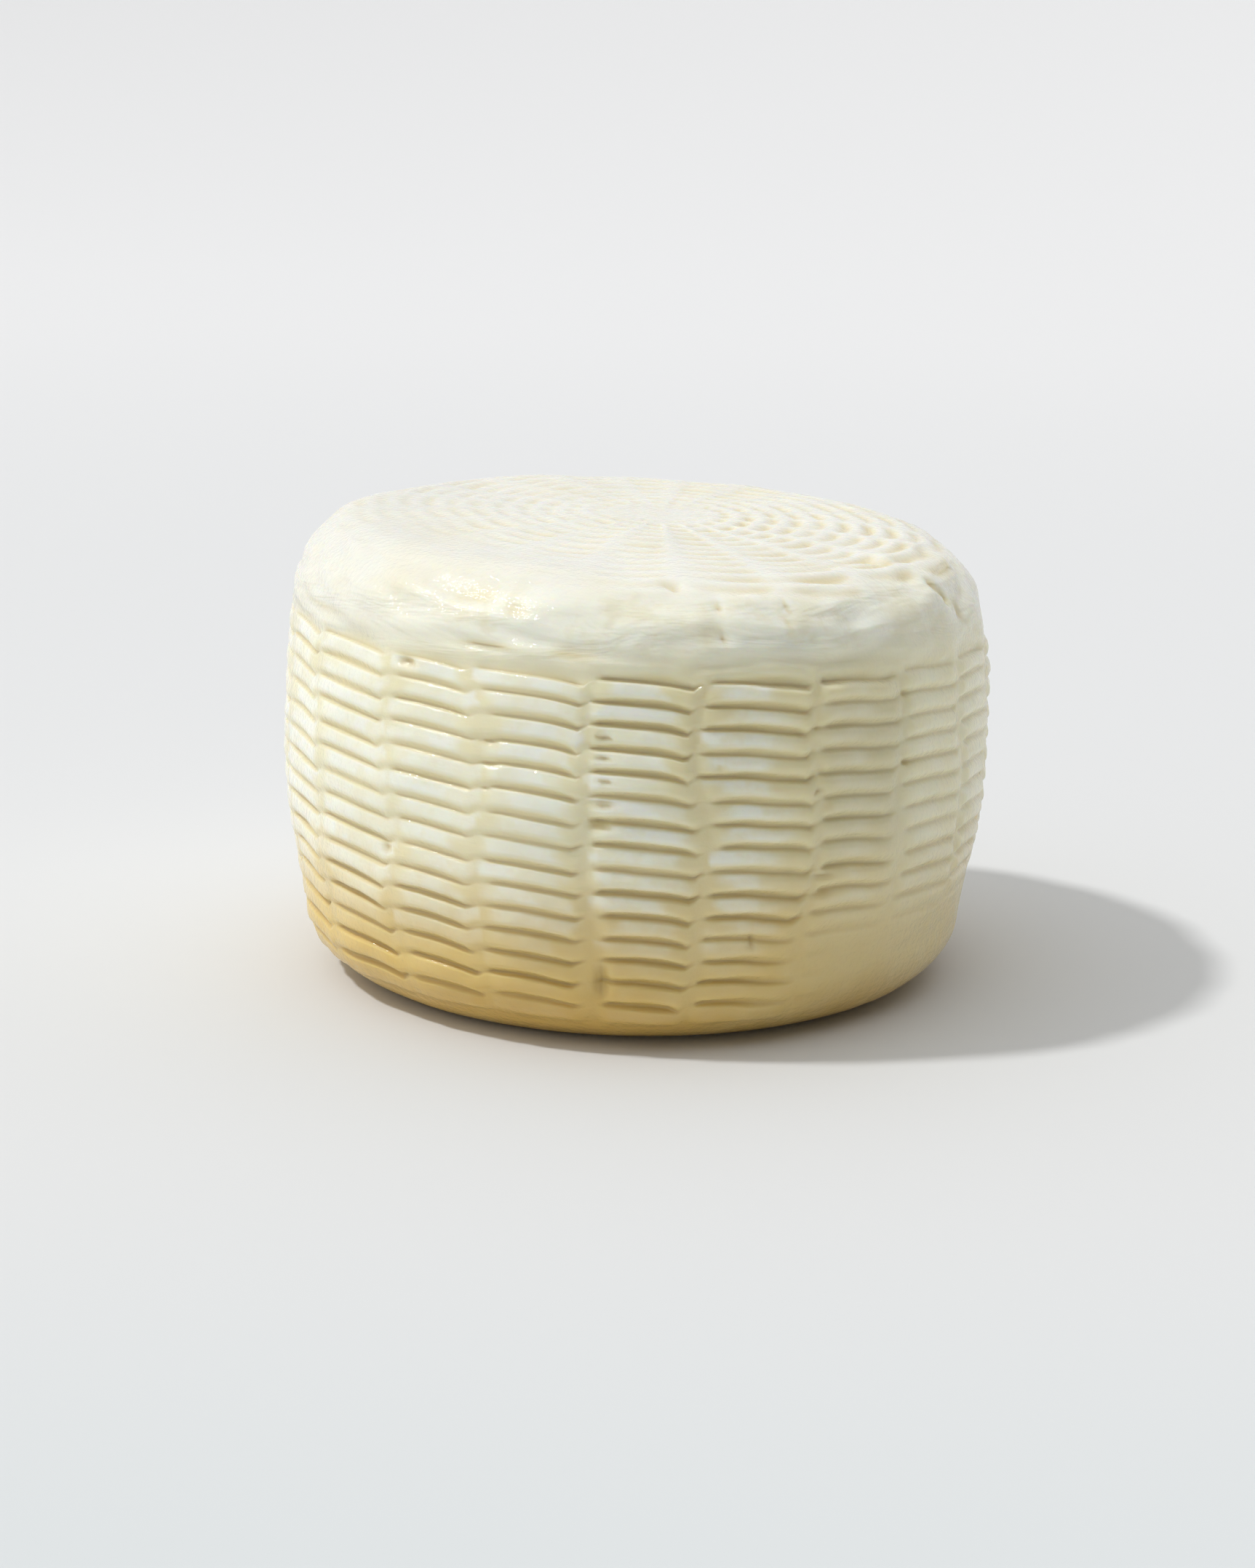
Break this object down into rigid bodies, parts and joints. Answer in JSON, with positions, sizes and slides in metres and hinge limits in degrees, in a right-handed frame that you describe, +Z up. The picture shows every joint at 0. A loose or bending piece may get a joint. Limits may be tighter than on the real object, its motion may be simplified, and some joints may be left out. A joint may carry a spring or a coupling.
{
  "type": "caciotta cheese",
  "caption": "Small round caciotta cheese with a bellied side printed by a woven basket, a nearly flat ringed top and a flat base.",
  "frame": {"origin": "centre of the cheese's box, on the plane of its flat base", "axes": "+Z up through the top, -Y towards the front that the picture shows, +X to its right"},
  "size_m": [0.1308, 0.1304, 0.0849],
  "materials": {
    "cheese": "moist rindless fresh cheese, off-white on the crests and the top and buttery yellow in the grooves and near the foot, slightly glossy and translucent"
  },
  "bodies": {
    "root": {"cheese": "cheese"}
  },
  "joints": []
}
